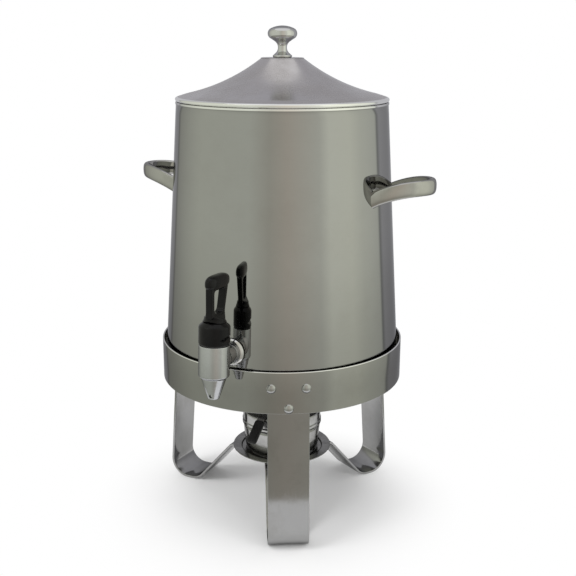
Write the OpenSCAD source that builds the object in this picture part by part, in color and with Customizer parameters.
// Coffee urn on a three-legged stand, heated by a fuel cup.
// The floor is z = 0 and the tap faces -Y. All sizes are in millimetres.

/* [Guard ring] */
// Height of the ring's lower edge above the table
ring_z = 161.6; // [140:0.1:190]
// Height of the ring band
ring_h = 47.3; // [40:0.1:60]
// Outer radius of the ring band
ring_r = 142; // [125:0.5:160]
// Thickness of the ring band
ring_t = 2; // [1.5:0.1:3]

/* [Legs] */
// Turn of the first leg from the tap, seen from above
leg_turn = 26.3; // [-60:0.1:60]
// Width of the leg strap
strap_w = 45.7; // [30:0.1:55]
// Thickness of the leg strap
strap_t = 3; // [2:0.1:4]
// Outward lean of the leg below the ring, in degrees
leg_flare = 4.2; // [0:0.1:6]
// Outer bend radius of the foot
foot_r = 23; // [18:0.5:28]
// Length of the flat sole between the two foot bends
sole_l = 6; // [4:0.5:12]
// Inner bend radius where the strap levels out under the tray
tray_bend_r = 5; // [3:0.5:8]
// How far outside the tray's floor the strap starts to level out
tray_bend_out = 6.3; // [2:0.1:10]
// How far the strap's level end reaches in under the tray's floor
tray_reach = 9.8; // [5:0.1:20]
// Length of the ledge at the top of the leg, which carries the vessel
ledge_l = 15; // [12:0.5:20]
// Inner bend radius of the ledge
ledge_bend_r = 2; // [1.5:0.5:3]
// Depth of the ledge below the ring's top edge
ledge_drop = 8.9; // [7:0.1:12]

/* [Leg screws] */
// Diameter of the screw shank
screw_d = 5; // [4:0.5:6]
// Diameter of the domed screw head
screw_head_d = 11; // [9:0.5:13]
// Height of the domed screw head
screw_head_h = 3.2; // [2:0.1:4.5]
// Spacing of the two upper screws of a leg
screw_gap = 37.4; // [25:0.1:38]
// Height of the upper screws above the ring's lower edge
screw_high = 28.8; // [24:0.1:30]
// Height of the lower screw above the ring's lower edge
screw_low = 6; // [6:0.1:12]
// Thickness of the nuts
nut_h = 4; // [3:0.1:5]
// Width of the nuts across their flats
nut_flats = 8; // [7:0.5:10]

/* [Burner tray] */
// Height of the tray's underside above the table
tray_z = 60.5; // [52:0.1:66]
// Outer radius of the tray's flange
tray_r = 59.8; // [56:0.1:64]
// Radius of the tray's sunken floor
tray_well_r = 50.2; // [49:0.1:54]
// Depth of the tray's sunken floor
tray_well_h = 3.5; // [2.5:0.1:5]
// Thickness of the tray's sheet
tray_t = 1.2; // [1:0.1:1.6]

/* [Fuel cup] */
// Outer radius of the cup at its floor
cup_foot_r = 43.9; // [42:0.1:45]
// Outer radius of the cup below its cap
cup_top_r = 46.9; // [46:0.1:48]
// Height of the cup
cup_h = 51; // [46:0.5:56]
// Thickness of the cup's sheet
cup_t = 0.8; // [0.6:0.1:1.2]
// Height of the cap's skirt
cap_skirt_h = 18; // [12:0.5:22]
// Thickness of the cap's sheet
cap_t = 0.8; // [0.6:0.1:1]
// Radius of the flame opening in the cap
flame_r = 29; // [24:0.5:30]

/* [Damper] */
// Overlap of the damper disc round the flame opening
damper_lap = 3.5; // [2:0.1:4.5]
// Thickness of the damper disc
damper_t = 1.2; // [1:0.1:1.6]
// Distance of the rivet from the cup's axis
rivet_reach = 40; // [38:0.5:42]
// Diameter of the rivet
rivet_d = 4; // [3:0.5:4]
// Turn of the damper's grip from the tap, seen from above
grip_turn = -6.7; // [-30:0.1:30]
// Slope of the grip, in degrees
grip_slope = 42.5; // [30:0.5:50]
// Length of the black grip
grip_l = 30; // [24:0.5:36]
// Width of the black grip
grip_w = 12.5; // [11:0.5:16]
// Thickness of the black grip
grip_t = 4.4; // [3.6:0.1:6]

/* [Vessel] */
// Gap between the ring's inner face and the foot of the vessel
body_gap = 2.8; // [2:0.1:5]
// Outer radius of the vessel at its top edge
body_top_r = 119.4; // [105:0.1:130]
// Height of the vessel's wall
body_h = 282.4; // [240:0.5:320]
// Thickness of the wall
wall_t = 1; // [0.8:0.1:1.5]
// Width of the lip that is turned in at the foot
foot_lip_w = 9; // [7:0.5:12]
// Width of the hem that is turned in at the top edge
hem_w = 3; // [2:0.1:4]
// Height of the raised middle of the vessel's bottom
bottom_dome_h = 4; // [2:0.5:8]

/* [Handles] */
// Height of the handles' roots above the foot of the vessel
handle_z = 182.2; // [140:0.1:200]
// Reach of a handle from the wall to its tip
handle_reach = 55; // [45:0.5:65]
// Rise of a handle from root to tip
handle_rise = 14.3; // [5:0.1:18]
// Distance between the middles of a handle's two arms
handle_span = 67; // [56:0.5:76]
// Height of the handle's band
band_h = 17; // [12:0.1:18]
// Thickness of the handle's band
band_t = 8; // [6:0.1:9]
// Rounding of the band's edges
band_round = 3; // [2:0.1:3]

/* [Tap] */
// Height of the tap's shank above the foot of the vessel
tap_z = 26.5; // [24:0.1:40]
// Distance of the barrel's axis from the wall
tap_reach = 41.5; // [38:0.1:46]
// Outer diameter of the barrel
barrel_d = 32.5; // [31:0.1:34]
// Height of the barrel above the shank's axis
barrel_up = 18; // [17:0.1:19]
// Height of the barrel below the shank's axis
barrel_down = 15; // [14.5:0.1:17]
// Bore of the barrel
barrel_bore_d = 25; // [23:0.1:25]
// Length of the tapered spout
spout_l = 25; // [22:0.1:28]
// Diameter of the spout's tip
spout_tip_d = 11; // [10.5:0.1:12]
// Bore of the outlet
outlet_d = 8; // [7:0.1:8.4]
// Diameter of the small hole in the front of the spout
vent_d = 4; // [3:0.1:4.4]
// Outer diameter of the shank
shank_d = 19; // [18:0.1:20]
// Bore of the shank
shank_bore_d = 12; // [10:0.1:13]
// Diameter of the bright flange at the wall
flange_d = 30; // [28:0.5:33]
// Thickness of the bright flange
flange_t = 3.6; // [3:0.1:5]
// Thickness of the rubber seals on the wall
seal_t = 1.2; // [1:0.1:2]
// Width across the flats of the nut inside the vessel
shank_nut_flats = 25; // [24:0.5:28]
// Thickness of the nut inside the vessel
shank_nut_h = 6; // [5:0.5:8]

/* [Tap valve] */
// Outer diameter of the black bonnet
bonnet_d = 33; // [32:0.1:35]
// Height of the bonnet above the barrel
bonnet_h = 23; // [22:0.1:26]
// Height of the chamfer at the bonnet's top
bonnet_chamfer = 5.5; // [4:0.1:6]
// Depth of the notch in the bonnet on the vessel's side
notch_h = 4.5; // [2:0.1:5]
// Diameter of the valve stem
stem_d = 6; // [5:0.1:6]
// Diameter of the rubber seat cup
cup_seal_d = 15; // [13:0.1:17]
// Wire diameter of the valve spring
spring_wire = 1; // [0.8:0.1:1.2]
// Mean diameter of the valve spring
spring_d = 10.5; // [10:0.1:11]
// Turns of the valve spring
spring_turns = 6; // [5:1:7]
// Diameter of the lever's pin
pin_d = 2; // [1.6:0.1:2.2]

/* [Tap lever] */
// Height of the pin above the bonnet
pin_up = 4; // [3.8:0.1:5]
// Height of the loop's lower end above the pin
loop_low = 5; // [4.6:0.1:7]
// Height of the loop's opening
loop_h = 25; // [20:0.5:32]
// Distance of the front bar's outer face from the stem's axis, at the loop's lower end
front_reach = 13.4; // [12:0.1:15]
// Distance of the rear bar's outer face from the stem's axis, at the loop's lower end
back_reach = 16.5; // [14:0.1:18]
// Depth of each bar
bar_depth = 5; // [4:0.1:6]
// Thickness of the bars
bar_t = 8; // [7:0.1:9]
// Height of the lever's head
head_h = 15; // [13.5:0.1:17]
// Depth of the lever's head
head_depth = 44; // [40:0.5:48]
// Thickness of the lever's head
head_t = 13; // [11:0.1:13.4]
// Offset of the head towards the vessel
head_shift = 5; // [3:0.5:6]
// Forward slope of the front bar, in degrees
front_spread = 1; // [0:0.1:4]
// Backward slope of the rear bar, in degrees
back_spread = 13; // [8:0.5:16]
// Tilt of the lever when the tap is fully open, in degrees
lever_tilt = 35; // [20:5:40]
// Radius of the lever's foot, which rocks on the bonnet and lifts the stem
cam_r = 7.5; // [6.5:0.1:8]
// Diameter of the lever's round foot
foot_d = 22; // [21:0.1:24]

/* [Lid] */
// Overhang of the lid's rim past the wall
lid_lap = 0.9; // [0.5:0.1:2]
// Diameter of the rolled bead round the lid's rim
bead_d = 4.4; // [3.5:0.1:5]
// Height of the lid from its rim to its flat top
lid_h = 47.3; // [38:0.1:55]
// Radius of the flat top
lid_top_r = 24; // [20:0.5:28]
// Radius of the hollow curve of the lid
lid_curve_r = 214; // [190:1:400]
// Radius at which the hollow curve meets the shoulder
shoulder_r = 110; // [100:0.5:112]
// Height of the shoulder above the rim's lower edge
shoulder_h = 7.3; // [5.5:0.1:9]
// Thickness of the lid's sheet
lid_t = 0.9; // [0.8:0.1:1.2]
// Depth of the collar under the lid
collar_h = 12; // [8:0.5:16]

/* [Knob] */
// Diameter of the knob's head
knob_d = 32.8; // [30:0.1:36]
// Height of the knob
knob_h = 34.4; // [33:0.1:37]
// Diameter of the knob's neck
neck_d = 10; // [10:0.1:12]
// Diameter of the knob's base
knob_base_d = 21.6; // [20:0.1:24]
// Diameter of the knob's screw
knob_screw_d = 5; // [4:0.5:5]

/* [Clearances] */
// Gap round a screw in its hole
hole_gap = 0.2; // [0.1:0.05:0.4]
// Gap between threaded pieces
thread_gap = 0.05; // [0.02:0.01:0.1]
// Running gap between a shaft and its bore
run_gap = 0.05; // [0.02:0.01:0.08]
// Gap between loose pieces that lie on each other
rest_gap = 0.3; // [0.2:0.05:0.5]
// Gap between faces that are seated or welded flush
seat_gap = 0.05; // [0.02:0.01:0.1]

/* [Hidden] */
$fn = 96;
EPS = 0.01;

// Guard ring and legs
ring_in = ring_r - ring_t;
ring_top = ring_z + ring_h;
foot_z = ring_top - ledge_drop;
leg_angles = [leg_turn, leg_turn + 120, leg_turn + 240];
// The strap is flat, so only its two edges touch the curved ring
leg_r = sqrt(pow(ring_in - run_gap, 2) - pow(strap_w / 2, 2));
screw_places = [[-screw_gap / 2, screw_high], [screw_gap / 2, screw_high], [0, screw_low]];
hole_d = screw_d + 2 * hole_gap;
nut_seat_r = leg_r - strap_t;
screw_end_r = nut_seat_r - nut_h - 1.5;
head_ball_r = (pow(screw_head_d / 2, 2) + pow(screw_head_h, 2)) / (2 * screw_head_h);

// Burner
cup_z = tray_z + tray_t;
cup_corner = 2.5;
cup_neck_r = cup_top_r - 0.5;
cap_in_r = cup_neck_r + rest_gap;
cap_r = cap_in_r + cap_t;
cap_z = cup_z + cup_h;
cap_top = cap_z + cap_t;
skirt_z = cap_top - cap_skirt_h;
cap_bead_r = 0.75;
bead_lines = [cap_bead_r, cap_bead_r + 4];
cup_swell_z = skirt_z - 3;
damper_r = flame_r + damper_lap;
damper_ear_r = 5.5;
tang_w = grip_w - 3;
tang_l = grip_l * 0.7;
grip_bend_r = cap_r + 1;
grip_start = 2.5;

// Vessel
body_base_r = ring_in - body_gap;
body_top = foot_z + body_h;
wall_lean = atan((body_base_r - body_top_r) / body_h);
function body_r(z) = body_base_r - (z - foot_z) * tan(wall_lean);
bottom_z = foot_z + wall_t;

// Handles
bow_power = 2.05;
bow_stations = 32;
handle_root_z = foot_z + handle_z;
handle_wall_r = body_r(handle_root_z);
handle_tip_r = handle_wall_r + handle_reach - band_t / 2;
arm_root_r = sqrt(pow(handle_wall_r, 2) - pow(handle_span / 2 + band_t, 2)) - wall_t;

// Tap, in its own frame: the origin is on the wall, -Y leads away from it
tap_wall_r = body_r(foot_z + tap_z);
boss_d = shank_d + 3;
boss_y = -seal_t - flange_t;
seal_d = flange_d - 3;
inner_y = wall_t + 2 * seal_t;
spout_z = -barrel_down - spout_l;
seat_z = 4.5 - barrel_down;
bonnet_gap = 1;
bonnet_z = barrel_up + bonnet_gap;
bonnet_top = bonnet_z + bonnet_h;
bonnet_neck_h = 8;
bonnet_neck_d = barrel_bore_d - 2 * thread_gap;
spring_room_d = 15;
spring_top = bonnet_z + 18;
collar_z = bonnet_z - bonnet_neck_h - 1;
collar_t = 1.6;
collar_d = spring_d + 2.5;
notch_z = 6.5;
cup_seal_h = 8;
stem_z = seat_z + 2;
pin_z = bonnet_top + pin_up;
flat_z = bonnet_top - 12;
eye_t = 4;
fork_gap = 0.2;
pin_l = foot_d - 4;
// The outermost point of the tap balances the ring's back about the origin
tap_front = tap_wall_r + (tap_reach + barrel_d / 2) * cos(wall_lean) + barrel_down * sin(wall_lean);
axis_y = (tap_front - ring_r) / 2;

// Lid
bead_r = body_top_r + lid_lap - bead_d / 2;
lid_z = body_top + rest_gap;
lid_top = lid_z + lid_h;
lid_step = 0.8;
hem_in_r = body_top_r - hem_w;
collar_r = hem_in_r - 0.5;
// Centre of the lid's hollow curve, above the lid, from its two ends
curve_a = [lid_top_r, lid_top - lid_step];
curve_b = [shoulder_r, lid_z + shoulder_h];
curve_mid = (curve_a + curve_b) / 2;
curve_half = norm(curve_b - curve_a) / 2;
curve_dir = (curve_b - curve_a) / (2 * curve_half);
lid_centre = curve_mid + sqrt(pow(lid_curve_r, 2) - pow(curve_half, 2)) * [-curve_dir.y, curve_dir.x];

// Knob
head_round = 6.2;
head_mid = knob_h - 8.5;
dome_r = 30;
neck_curve_r = 8;
neck_mid = 10.8;
knob_screw_up = 12.5;
knob_washer_d = 16;
knob_washer_t = 1.2;
washer_z = lid_top - lid_step - lid_t - knob_washer_t;

POLISHED = [0.80, 0.80, 0.78];
SATIN = [0.66, 0.66, 0.64];
DARK_STEEL = [0.45, 0.45, 0.44];
BLACK = [0.06, 0.06, 0.07];
RUBBER = [0.20, 0.20, 0.20];

// ---- Shared shapes ----

// Puts the urn's axis where the bounding box is centred on the origin
module on_axis() translate([0, axis_y, 0]) children();

// Turns a piece that faces -Y to the angle a, seen from above
module turned(a) rotate([0, 0, a]) children();

// Stands a flat outline up: its x leads away from the axis, its y is the height
module upright(w) rotate([90, 0, -90]) linear_extrude(w, center = true) children();

// A rod or hole along -Y, from the distance r0 to r1, at the height z
module outward(r0, r1, d, z = 0) translate([0, -r0, z]) rotate([90, 0, 0]) cylinder(h = r1 - r0, d = d);

// Puts a child at each leg screw, with +Z leading out of the ring
module at_leg_screws() {
  for (a = leg_angles) turned(a) for (p = screw_places) {
    translate([p.x, 0, ring_z + p.y]) rotate([90, 0, 0]) children();
  }
}

// A ring-shaped nut or washer round +Z
module hex_nut(flats, bore, h) {
  difference() {
    cylinder(h = h, d = flats / cos(30), $fn = 6);
    translate([0, 0, -1]) cylinder(h = h + 2, d = bore);
  }
}
module washer(d, bore, h) {
  difference() {
    cylinder(h = h, d = d);
    translate([0, 0, -1]) cylinder(h = h + 2, d = bore);
  }
}

// The outside of the vessel as a solid, to trim what seats on it
module body_core(inset = 0) {
  translate([0, 0, foot_z]) cylinder(h = body_h, r1 = body_base_r - inset, r2 = body_top_r - inset, $fn = 192);
}

// Points along an arc
function arc_points(centre, r, a0, a1, n) = [
  for (i = [0:n]) centre + r * [cos(a0 + (a1 - a0) * i / n), sin(a0 + (a1 - a0) * i / n)]
];

// A closed skin through rings that all have the same number of points
module skin(rings) {
  n = len(rings[0]);
  m = len(rings);
  sides = [
    for (i = [0:m - 2], j = [0:n - 1])
      let (a = i * n + j, b = i * n + (j + 1) % n) each [[a, a + n, b], [b, a + n, b + n]]
  ];
  near_cap = [for (j = [0:n - 1]) j];
  far_cap = [for (j = [n - 1:-1:0]) (m - 1) * n + j];
  polyhedron([for (r = rings) each r], concat(sides, [near_cap, far_cap]), convexity = 8);
}

// Outline of a rectangle w by h with rounded corners, as points
function rounded_points(w, h, r, n) = [
  for (c = [0:3], i = [0:n - 1])
    let (a = 90 * c + 90 * i / (n - 1), sx = (c == 0 || c == 3) ? 1 : -1, sy = c < 2 ? 1 : -1)
      [sx * (w / 2 - r) + r * cos(a), sy * (h / 2 - r) + r * sin(a)]
];

// ---- Stand ----

module screw_holes() {
  at_leg_screws() translate([0, 0, leg_r - 2 * strap_t]) cylinder(h = ring_r - leg_r + 3 * strap_t, d = hole_d);
}

module guard_ring() {
  color(SATIN) on_axis() difference() {
    rotate_extrude($fn = 192) {
      translate([ring_in, ring_z]) square([ring_t, ring_h - ring_t / 2]);
      translate([ring_in + ring_t / 2, ring_top - ring_t / 2]) circle(d = ring_t, $fn = 32);
    }
    screw_holes();
  }
}

// Stations round a bend, each with the direction from the strap's outer face to its inner one
function bend(centre, r, a0, a1, side, n) = [
  for (i = [0:n])
    let (a = a0 + (a1 - a0) * i / n, u = [cos(a), sin(a)])
      [centre + r * u, side * u]
];

// Side view of a leg: ledge, upright, flared shank, foot, climb and level end
module leg_outline() {
  ledge_r = ledge_bend_r + strap_t;
  shank_x = leg_r + (ring_z - foot_r) * tan(leg_flare);
  foot_a = [shank_x - foot_r / cos(leg_flare), foot_r];
  foot_b = foot_a - [sole_l, 0];
  level_z = tray_z - strap_t;
  level_c = [tray_well_r + tray_bend_out, level_z - tray_bend_r];
  // the climb is the line that touches both the foot's bend and the bend under the tray
  climb = foot_b - level_c;
  climb_angle = atan2(-climb.y, climb.x) + asin((foot_r + tray_bend_r) / norm(climb));
  ledge_z = foot_z - seat_gap;
  stations = concat(
    [[[leg_r - ledge_l, ledge_z], [0, -1]]],
    bend([leg_r - ledge_r, ledge_z - ledge_r], ledge_r, 90, 0, -1, 6),
    [[[leg_r, ring_z], [-1, 0]]],
    bend(foot_a, foot_r, leg_flare, -90, -1, 18),
    bend(foot_b, foot_r, 270, 270 - climb_angle, -1, 10),
    bend(level_c, tray_bend_r, 90 - climb_angle, 90, 1, 6),
    [[[tray_well_r - tray_reach, level_z], [0, 1]]]
  );
  polygon(concat(
    [for (s = stations) s[0]],
    [for (i = [len(stations) - 1:-1:0]) stations[i][0] + strap_t * stations[i][1]]
  ));
}

module leg(i) {
  color(SATIN) on_axis() difference() {
    turned(leg_angles[i]) upright(strap_w) leg_outline();
    screw_holes();
  }
}

// Domed heads lie on the ring, and the shanks reach through the leg to the nuts
module leg_screws() {
  color(POLISHED) on_axis() {
    at_leg_screws() translate([0, 0, screw_end_r]) cylinder(h = ring_in - screw_end_r, d = screw_d);
    difference() {
      for (a = leg_angles) turned(a) for (p = screw_places) {
        head_top = sqrt(pow(ring_r, 2) - pow(p.x, 2)) + screw_head_h;
        translate([p.x, 0, ring_z + p.y]) rotate([90, 0, 0]) {
          intersection() {
            translate([0, 0, head_top - head_ball_r]) sphere(head_ball_r);
            translate([0, 0, ring_in]) cylinder(h = 2 * screw_head_h + ring_t, d = screw_head_d);
          }
          translate([0, 0, ring_in - 1]) cylinder(h = ring_t + 0.5, d = screw_d);
        }
      }
      translate([0, 0, ring_z]) difference() {
        cylinder(h = ring_h, r = ring_r, $fn = 192);
        translate([0, 0, -ring_z]) at_leg_screws() translate([0, 0, ring_in / 2]) {
          cylinder(h = ring_r, d = screw_d + EPS);
        }
      }
    }
  }
}

module leg_nuts() {
  color(DARK_STEEL) on_axis() at_leg_screws() {
    translate([0, 0, nut_seat_r - nut_h]) hex_nut(nut_flats, screw_d + 2 * thread_gap, nut_h);
  }
}

module burner_tray() {
  rim_z = tray_z + tray_well_h;
  wall_in = tray_well_r - tray_t;
  color(DARK_STEEL) on_axis() rotate_extrude($fn = 128) polygon([
    [0, tray_z], [tray_well_r, tray_z], [tray_well_r, rim_z], [tray_r, rim_z],
    [tray_r, rim_z + tray_t], [wall_in, rim_z + tray_t], [wall_in, tray_z + tray_t], [0, tray_z + tray_t]
  ]);
}

// ---- Burner ----

// Outside of the cup, or its inside when it is inset by the sheet's thickness
module cup_form(inset, top) {
  rotate_extrude($fn = 128) polygon(concat(
    [[0, cup_z + inset]],
    arc_points([cup_foot_r - cup_corner, cup_z + cup_corner], cup_corner - inset, -90, 0, 6),
    [
      [cup_top_r - inset, cup_swell_z], [cup_neck_r - inset, skirt_z],
      [cup_neck_r - inset, top], [0, top]
    ]
  ));
}

module fuel_cup() {
  color(POLISHED) on_axis() difference() {
    cup_form(0, cap_z);
    cup_form(cup_t, cap_z + 1);
  }
}

// Cap with a flame opening, a skirt and two bead lines round it
module cup_cap() {
  color(POLISHED) on_axis() difference() {
    union() {
      rotate_extrude($fn = 128) polygon([
        [flame_r, cap_z], [cap_in_r, cap_z], [cap_in_r, skirt_z], [cap_r, skirt_z],
        [cap_r, cap_top - cap_t], [cap_r - cap_t, cap_top], [flame_r, cap_top]
      ]);
      for (h = bead_lines) {
        rotate_extrude($fn = 128) translate([cap_r - EPS, skirt_z + h]) circle(cap_bead_r, $fn = 24);
      }
    }
    turned(grip_turn) translate([0, rivet_reach, cap_z - 1]) {
      cylinder(h = cap_t + 2, d = rivet_d + 2 * thread_gap);
    }
  }
}

module damper_rivet() {
  head_d = rivet_d + 3;
  head_t = 1;
  shank_l = cap_t + damper_t;
  color(DARK_STEEL) on_axis() turned(grip_turn) translate([0, rivet_reach, cap_z]) {
    cylinder(h = shank_l + run_gap, d = rivet_d);
    translate([0, 0, shank_l + run_gap]) cylinder(h = head_t, d1 = head_d, d2 = rivet_d);
    translate([0, 0, -head_t]) cylinder(h = head_t, d = head_d);
  }
}

// Flat disc over the flame opening, with an ear at the rivet and a tang that bends down
module damper() {
  color(SATIN) on_axis() turned(grip_turn) {
    translate([0, 0, cap_top]) linear_extrude(damper_t) difference() {
      union() {
        circle(damper_r);
        translate([0, rivet_reach]) circle(damper_ear_r);
        polygon([
          [-damper_r / 2, damper_r / 2], [damper_r / 2, damper_r / 2],
          [0.8 * damper_ear_r, rivet_reach], [-0.8 * damper_ear_r, rivet_reach]
        ]);
      }
      translate([0, rivet_reach]) circle(d = rivet_d + 2 * run_gap);
    }
    side_plate(tang_w) tang_outline();
  }
}

// Side view of the tang: level on the cap, then bent down with a mitred corner
module tang_outline() {
  half = damper_t / 2;
  way = [-cos(grip_slope), -sin(grip_slope)];
  up = [-sin(grip_slope), cos(grip_slope)];
  corner = [-grip_bend_r, cap_top + half];
  end = corner + (grip_start + tang_l) * way;
  mitre = half * [-tan(grip_slope / 2), 1];
  polygon([
    [-damper_r / 2, cap_top], corner - mitre, end - half * up,
    end + half * up, corner + mitre, [-damper_r / 2, cap_top + damper_t]
  ]);
}

// A slab that follows the tang's slope from s0 to s1, centred on the tang's thickness
module tang_slope(t, w, s0, s1) {
  translate([0, -grip_bend_r, cap_top + damper_t / 2]) rotate([grip_slope, 0, 0]) {
    translate([-w / 2, -s1, -t / 2]) cube([w, s1 - s0, t]);
  }
}

module damper_grip() {
  r = grip_t / 2;
  x = grip_w / 2 - r;
  color(BLACK) on_axis() turned(grip_turn) difference() {
    translate([0, -grip_bend_r, cap_top + damper_t / 2]) rotate([grip_slope, 0, 0]) hull() {
      for (sx = [-1, 1]) {
        translate([sx * (x - 1), -grip_start - r, 0]) sphere(r, $fn = 24);
        translate([sx * x, -grip_start - grip_l / 3, 0]) sphere(r, $fn = 24);
        translate([sx * (x - 1.5), -grip_start - grip_l + r, 0]) sphere(r, $fn = 24);
      }
    }
    tang_slope(damper_t + 2 * thread_gap, tang_w + 2 * thread_gap, 0, grip_start + tang_l + thread_gap);
  }
}

// ---- Vessel ----

// Tapered wall in one sheet, with a lip turned in at the foot and a hem at the top
module urn_wall() {
  lip_r = body_base_r - foot_lip_w;
  hem_h = 2 * hem_w;
  hem_z = body_top - hem_h;
  color(POLISHED) on_axis() difference() {
    rotate_extrude($fn = 192) {
      polygon([
        [lip_r, foot_z], [body_base_r, foot_z], [body_top_r, body_top], [hem_in_r, body_top],
        [hem_in_r, hem_z + hem_w], [body_r(hem_z) - wall_t, hem_z],
        [body_r(bottom_z) - wall_t, bottom_z], [lip_r, bottom_z]
      ]);
    }
    at_tap() outward(-2 * shank_d, shank_d, shank_d + 2 * hole_gap);
  }
}

// Round bottom that lies on the turned-in lip, with its middle raised
module urn_bottom() {
  edge_r = body_r(bottom_z + wall_t) - wall_t - thread_gap;
  dish_r = edge_r - foot_lip_w - wall_t;
  ball_r = (pow(dish_r, 2) + pow(bottom_dome_h, 2)) / (2 * bottom_dome_h);
  ball_z = bottom_z + bottom_dome_h - ball_r;
  half = asin(dish_r / ball_r);
  color(SATIN) on_axis() rotate_extrude($fn = 192) polygon(concat(
    [[edge_r, bottom_z], [edge_r, bottom_z + wall_t]],
    arc_points([0, ball_z + wall_t], ball_r, 90 - half, 90, 8),
    arc_points([0, ball_z], ball_r, 90, 90 - half, 8)
  ));
}

// The bow's centre line: a squared-off half oval in plan that rises towards its tip
function bow_point(a) =
  let (
    reach = handle_tip_r - arm_root_r,
    x = arm_root_r + reach * pow(cos(a), 2 / bow_power),
    y = handle_span / 2 * pow(abs(sin(a)), 2 / bow_power) * sign(a),
    left = (handle_tip_r - x) / reach
  ) [x, y, handle_root_z + handle_rise * (1 - left * left)];

// Flat band with rounded edges along the bow, trimmed where it meets the wall
module bow_handle() {
  section = rounded_points(band_t, band_h, band_round, 4);
  path = [for (i = [0:bow_stations]) bow_point(-90 + 180 * i / bow_stations)];
  rings = [
    for (i = [0:bow_stations])
      let (
        ahead = path[min(i + 1, bow_stations)] - path[max(i - 1, 0)],
        way = ahead / norm(ahead),
        side = [way.y, -way.x, 0] / norm([way.x, way.y]),
        rise = cross(side, way)
      ) [for (p = section) path[i] + p.x * side + p.y * rise]
  ];
  difference() {
    skin(rings);
    body_core();
  }
}

module handle_right() {
  color(POLISHED) on_axis() bow_handle();
}

module handle_left() {
  color(POLISHED) on_axis() rotate([0, 0, 180]) bow_handle();
}

// ---- Tap ----

// The tap leans back with the wall
module at_tap() translate([0, -tap_wall_r, foot_z + tap_z]) rotate([-wall_lean, 0, 0]) children();

// Upright pieces of the tap share the barrel's axis
module on_barrel() at_tap() translate([0, -tap_reach, 0]) children();

// Cast barrel with a tapered spout, and the threaded shank that goes through the wall
module tap_body() {
  shank_end = wall_t + 2 * seal_t + shank_nut_h + 3.5;
  color(SATIN) on_axis() difference() {
    union() {
      on_barrel() {
        translate([0, 0, -barrel_down]) cylinder(h = barrel_down + barrel_up, d = barrel_d);
        translate([0, 0, spout_z]) cylinder(h = spout_l, d1 = spout_tip_d, d2 = barrel_d);
        rotate([-90, 0, 0]) cylinder(h = tap_reach + boss_y, d = boss_d);
      }
      at_tap() outward(-shank_end, tap_reach, shank_d);
    }
    on_barrel() {
      translate([0, 0, seat_z]) cylinder(h = barrel_up - seat_z + 1, d = barrel_bore_d);
      translate([0, 0, spout_z - 1]) cylinder(h = seat_z - spout_z + 2, d = outlet_d);
      outward(0, barrel_d, vent_d, spout_z + vent_d + 0.3);
    }
    at_tap() outward(-shank_end - 1, tap_reach, shank_bore_d);
  }
}

module wall_flange() {
  ball_r = (pow(flange_d / 2, 2) + pow(flange_t, 2)) / (2 * flange_t);
  color(POLISHED) on_axis() at_tap() translate([0, -seal_t, 0]) rotate([90, 0, 0]) difference() {
    intersection() {
      cylinder(h = flange_t, d = flange_d);
      translate([0, 0, flange_t + 1 - ball_r]) sphere(ball_r);
    }
    translate([0, 0, -1]) cylinder(h = flange_t + 2, d = shank_d + 2 * hole_gap);
  }
}

// The seals follow the curve of the wall on one side
module outer_seal() {
  color(RUBBER) on_axis() difference() {
    at_tap() outward(-seal_d / 8, seal_t, seal_d);
    at_tap() outward(-seal_d, seal_d, shank_d + 2 * hole_gap);
    body_core();
  }
}

module inner_seal() {
  color(RUBBER) on_axis() difference() {
    intersection() {
      at_tap() outward(-inner_y, 0, seal_d);
      body_core(wall_t + thread_gap);
    }
    at_tap() outward(-seal_d, seal_d, shank_d + 2 * hole_gap);
  }
}

module shank_nut() {
  color(POLISHED) on_axis() at_tap() translate([0, inner_y + shank_nut_h, 0]) rotate([90, 0, 0]) {
    hex_nut(shank_nut_flats, shank_d + 2 * thread_gap, shank_nut_h);
  }
}

module bonnet_seal() {
  color(RUBBER) on_axis() on_barrel() translate([0, 0, barrel_up]) {
    washer(barrel_d - 3, barrel_bore_d, bonnet_gap);
  }
}

// Black bonnet: threaded neck, room for the spring, and a notch on the vessel's side
module bonnet() {
  r = bonnet_d / 2;
  color(BLACK) on_axis() on_barrel() difference() {
    union() {
      translate([0, 0, bonnet_z - bonnet_neck_h]) cylinder(h = bonnet_neck_h + 1, d = bonnet_neck_d);
      translate([0, 0, bonnet_z]) cylinder(h = bonnet_h - bonnet_chamfer, d = bonnet_d);
      translate([0, 0, bonnet_top - bonnet_chamfer]) {
        cylinder(h = bonnet_chamfer, r1 = r, r2 = r - bonnet_chamfer);
      }
    }
    translate([0, 0, bonnet_z - bonnet_neck_h - 1]) {
      cylinder(h = spring_top - bonnet_z + bonnet_neck_h + 1, d = spring_room_d);
    }
    translate([0, 0, bonnet_z]) cylinder(h = bonnet_h + 1, d = stem_d + 2 * run_gap);
    translate([0, 0, bonnet_z]) side_plate(2 * bonnet_d) polygon([
      [r + 1, notch_z - notch_h], [r - notch_h, notch_z], [r + 1, notch_z + notch_h]
    ]);
  }
}

// Extrudes a side view, whose x leads towards the vessel and whose y is the height
module side_plate(w) rotate([90, 0, 90]) linear_extrude(w, center = true) children();

// Stem with a seat for the spring, and two flats at its top that end in an eye
module valve_stem() {
  color(POLISHED) on_axis() on_barrel() difference() {
    union() {
      translate([0, 0, stem_z]) cylinder(h = flat_z - stem_z, d = stem_d);
      translate([0, 0, collar_z]) cylinder(h = collar_t, d = collar_d);
      intersection() {
        translate([0, 0, flat_z - EPS]) cylinder(h = pin_z - flat_z + EPS, d = stem_d);
        translate([-eye_t / 2, -stem_d, flat_z - EPS]) cube([eye_t, 2 * stem_d, pin_z - flat_z + EPS]);
      }
      translate([-eye_t / 2, 0, pin_z]) rotate([0, 90, 0]) cylinder(h = eye_t, d = stem_d);
    }
    translate([-eye_t, 0, pin_z]) rotate([0, 90, 0]) cylinder(h = 2 * eye_t, d = pin_d + 2 * run_gap);
  }
}

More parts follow.
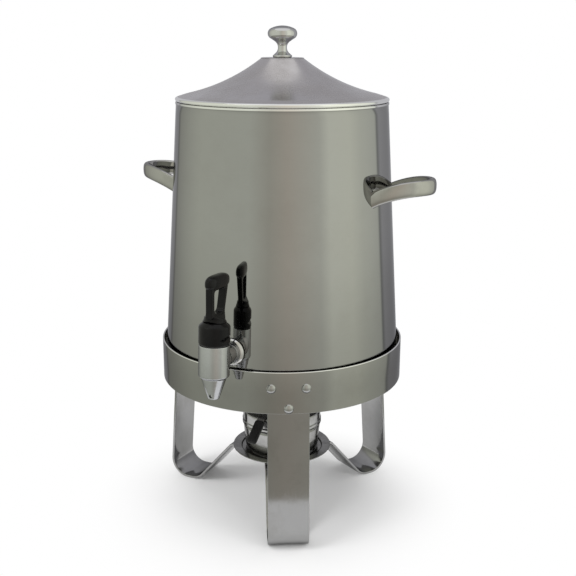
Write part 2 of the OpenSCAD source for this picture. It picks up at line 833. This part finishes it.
module seat_cup() {
  color(RUBBER) on_axis() on_barrel() difference() {
    union() {
      translate([0, 0, seat_z]) cylinder(h = cup_seal_h / 2, d = cup_seal_d);
      translate([0, 0, seat_z + cup_seal_h / 2]) {
        cylinder(h = cup_seal_h / 2, d1 = cup_seal_d, d2 = stem_d + 3);
      }
    }
    translate([0, 0, stem_z]) cylinder(h = cup_seal_h, d = stem_d + 2 * thread_gap);
  }
}

// Coil between the stem's collar and the roof of the bonnet's spring room
module stem_spring() {
  sides = 6;
  turn_steps = 12;
  low = collar_z + collar_t + spring_wire / 2;
  rise = spring_top - spring_wire / 2 - low;
  steps = spring_turns * turn_steps;
  rings = [
    for (i = [0:steps])
      let (a = 360 * i / turn_steps, z = low + rise * i / steps)
        [
          for (j = [0:sides - 1])
            let (b = -360 * j / sides, r = spring_d / 2 + spring_wire / 2 * cos(b))
              [r * cos(a), r * sin(a), z + spring_wire / 2 * sin(b)]
        ]
  ];
  color(POLISHED) on_axis() on_barrel() skin(rings);
}

module lever_pin() {
  color(POLISHED) on_axis() on_barrel() translate([-pin_l / 2, 0, pin_z]) rotate([0, 90, 0]) {
    cylinder(h = pin_l, d = pin_d);
  }
}

// Side view of the lever's foot. Its front edge is an involute about the pin, so the
// stem rises by cam_r for each radian of tilt while the foot rolls on the bonnet
module foot_outline() {
  low = -pin_up + rest_gap;
  rolled = [
    for (a = [0:5:lever_tilt])
      let (drop = low - cam_r * a * PI / 180)
        [-cam_r * cos(a) + drop * sin(a), cam_r * sin(a) + drop * cos(a)]
  ];
  polygon(concat(
    [for (i = [len(rolled) - 1:-1:0]) rolled[i]],
    [[foot_d / 2 - 1, low], [back_reach, loop_low], [back_reach, loop_low + 1], [-front_reach, loop_low + 1]]
  ));
}

// Side view of the two bars and the opening between them
module loop_outline() {
  front_top = front_reach + loop_h * tan(front_spread);
  back_top = back_reach + loop_h * tan(back_spread);
  slot_low_r = (front_reach + back_reach - 2 * bar_depth) / 2;
  slot_top_r = 4;
  difference() {
    polygon([
      [-front_reach, loop_low - 3], [back_reach, loop_low - 3], [back_reach, loop_low],
      [back_top, loop_low + loop_h + 2], [-front_top, loop_low + loop_h + 2], [-front_reach, loop_low]
    ]);
    translate([(back_reach - front_reach) / 2, loop_low + slot_low_r]) circle(slot_low_r);
    polygon([
      [bar_depth - front_reach, loop_low + slot_low_r], [back_reach - bar_depth, loop_low + slot_low_r],
      [back_top - bar_depth, loop_low + loop_h - slot_top_r],
      [back_top - bar_depth - slot_top_r, loop_low + loop_h],
      [bar_depth - front_top + slot_top_r, loop_low + loop_h],
      [bar_depth - front_top, loop_low + loop_h - slot_top_r]
    ]);
  }
}

module tap_lever() {
  r = head_t / 2;
  head_low = loop_low + loop_h + r - 1;
  head_top = loop_low + loop_h + head_h - r;
  front = head_shift - head_depth / 2 + r;
  back = head_shift + head_depth / 2 - r;
  color(BLACK) on_axis() on_barrel() translate([0, 0, pin_z]) difference() {
    union() {
      // round where it stands on the bonnet, and as thin as the bars where it joins them
      intersection() {
        side_plate(foot_d) foot_outline();
        hull() {
          translate([0, 0, -pin_up]) cylinder(h = pin_up + 1, d = foot_d);
          translate([-bar_t / 2, -front_reach, loop_low]) cube([bar_t, front_reach + back_reach, 2]);
        }
      }
      side_plate(bar_t) loop_outline();
      hull() {
        translate([0, 0, head_low]) rotate([-90, 0, 0]) translate([0, 0, front]) sphere(r, $fn = 32);
        translate([0, front + 1, head_top - 0.5]) sphere(r, $fn = 32);
        translate([0, back, head_low]) sphere(r, $fn = 32);
        translate([0, back - 2, head_top]) sphere(r, $fn = 32);
      }
    }
    // room for the stem's eye, over the whole tilt
    translate([-eye_t / 2 - fork_gap, 0, 0]) rotate([0, 90, 0]) {
      cylinder(h = eye_t + 2 * fork_gap, r = stem_d / 2 + rest_gap);
    }
    side_plate(eye_t + 2 * fork_gap) hull() for (a = [0:5:lever_tilt]) rotate(-a) {
      translate([-stem_d / 2 - rest_gap, -2 * pin_up]) square([stem_d + 2 * rest_gap, 2 * pin_up]);
    }
    translate([-foot_d, 0, 0]) rotate([0, 90, 0]) {
      cylinder(h = foot_d + pin_l / 2 + run_gap, d = pin_d + 2 * run_gap);
    }
  }
}

// ---- Lid ----

// Height of the straight shoulder's upper face at the radius r
function shoulder_line(r) = lid_z + bead_d + (bead_r - r) / (bead_r - shoulder_r) * (shoulder_h - bead_d);

// Spun lid: rolled rim, shoulder, hollow curve and a flat top for the knob
module lid_shell() {
  a_low = atan2(curve_b.y - lid_centre.y, curve_b.x - lid_centre.x);
  a_high = atan2(curve_a.y - lid_centre.y, curve_a.x - lid_centre.x);
  color(SATIN) on_axis() difference() {
    rotate_extrude($fn = 192) {
      polygon(concat(
        [[bead_r, shoulder_line(bead_r)]],
        arc_points(lid_centre, lid_curve_r, a_low, a_high, 24),
        [[lid_top_r, lid_top], [0, lid_top], [0, lid_top - lid_t - lid_step]],
        arc_points(lid_centre, lid_curve_r + lid_t, a_high, a_low, 24),
        [[bead_r, shoulder_line(bead_r) - lid_t]]
      ));
      translate([bead_r, lid_z + bead_d / 2]) circle(d = bead_d, $fn = 48);
    }
    translate([0, 0, lid_top - 10]) cylinder(h = 20, d = knob_screw_d + 2 * hole_gap);
  }
}

// Collar that centres the lid in the vessel's hem
module lid_collar() {
  inner = collar_r - lid_t;
  color(SATIN) on_axis() rotate_extrude($fn = 192) polygon([
    [inner, lid_z - collar_h], [collar_r, lid_z - collar_h],
    [collar_r, shoulder_line(collar_r) - lid_t - seat_gap], [inner, shoulder_line(inner) - lid_t - seat_gap]
  ]);
}

// Mushroom knob: a round foot, a waisted neck and a domed head
module lid_knob() {
  foot_h = 3;
  head_r = knob_d / 2 - head_round;
  dome_edge = sqrt(pow(dome_r, 2) - pow(head_mid + 5.6 - knob_h + dome_r, 2));
  color(POLISHED) on_axis() translate([0, 0, lid_top]) difference() {
    union() {
      rotate_extrude() {
        square([knob_base_d / 2 - foot_h / 2, foot_h]);
        translate([knob_base_d / 2 - foot_h / 2, foot_h / 2]) circle(d = foot_h, $fn = 32);
      }
      rotate_extrude() difference() {
        square([head_r, head_mid]);
        translate([neck_d / 2 + neck_curve_r, neck_mid]) circle(neck_curve_r);
      }
      rotate_extrude() translate([head_r, head_mid]) circle(head_round);
      intersection() {
        translate([0, 0, knob_h - dome_r]) sphere(dome_r);
        translate([0, 0, head_mid]) cylinder(h = knob_h, r = dome_edge);
      }
    }
    translate([0, 0, -1]) cylinder(h = knob_screw_up + 1.5, d = knob_screw_d + 2 * thread_gap);
  }
}

module knob_screw() {
  head_z = washer_z - 0.6 * knob_screw_d;
  color(DARK_STEEL) on_axis() {
    translate([0, 0, head_z]) cylinder(h = washer_z - head_z, d = 1.8 * knob_screw_d);
    translate([0, 0, washer_z - EPS]) cylinder(h = lid_top + knob_screw_up - washer_z + EPS, d = knob_screw_d);
  }
}

module knob_washer() {
  color(DARK_STEEL) on_axis() translate([0, 0, washer_z]) {
    washer(knob_washer_d, knob_screw_d + 2 * hole_gap, knob_washer_t);
  }
}

guard_ring();
leg(0);  // leg_front
leg(1);  // leg_right
leg(2);  // leg_left
leg_screws();
leg_nuts();
burner_tray();
fuel_cup();
cup_cap();
damper_rivet();
damper();
damper_grip();
urn_wall();
urn_bottom();
handle_right();
handle_left();
tap_body();
wall_flange();
outer_seal();
inner_seal();
shank_nut();
bonnet_seal();
bonnet();
valve_stem();
seat_cup();
stem_spring();
lever_pin();
tap_lever();
lid_shell();
lid_collar();
lid_knob();
knob_screw();
knob_washer();
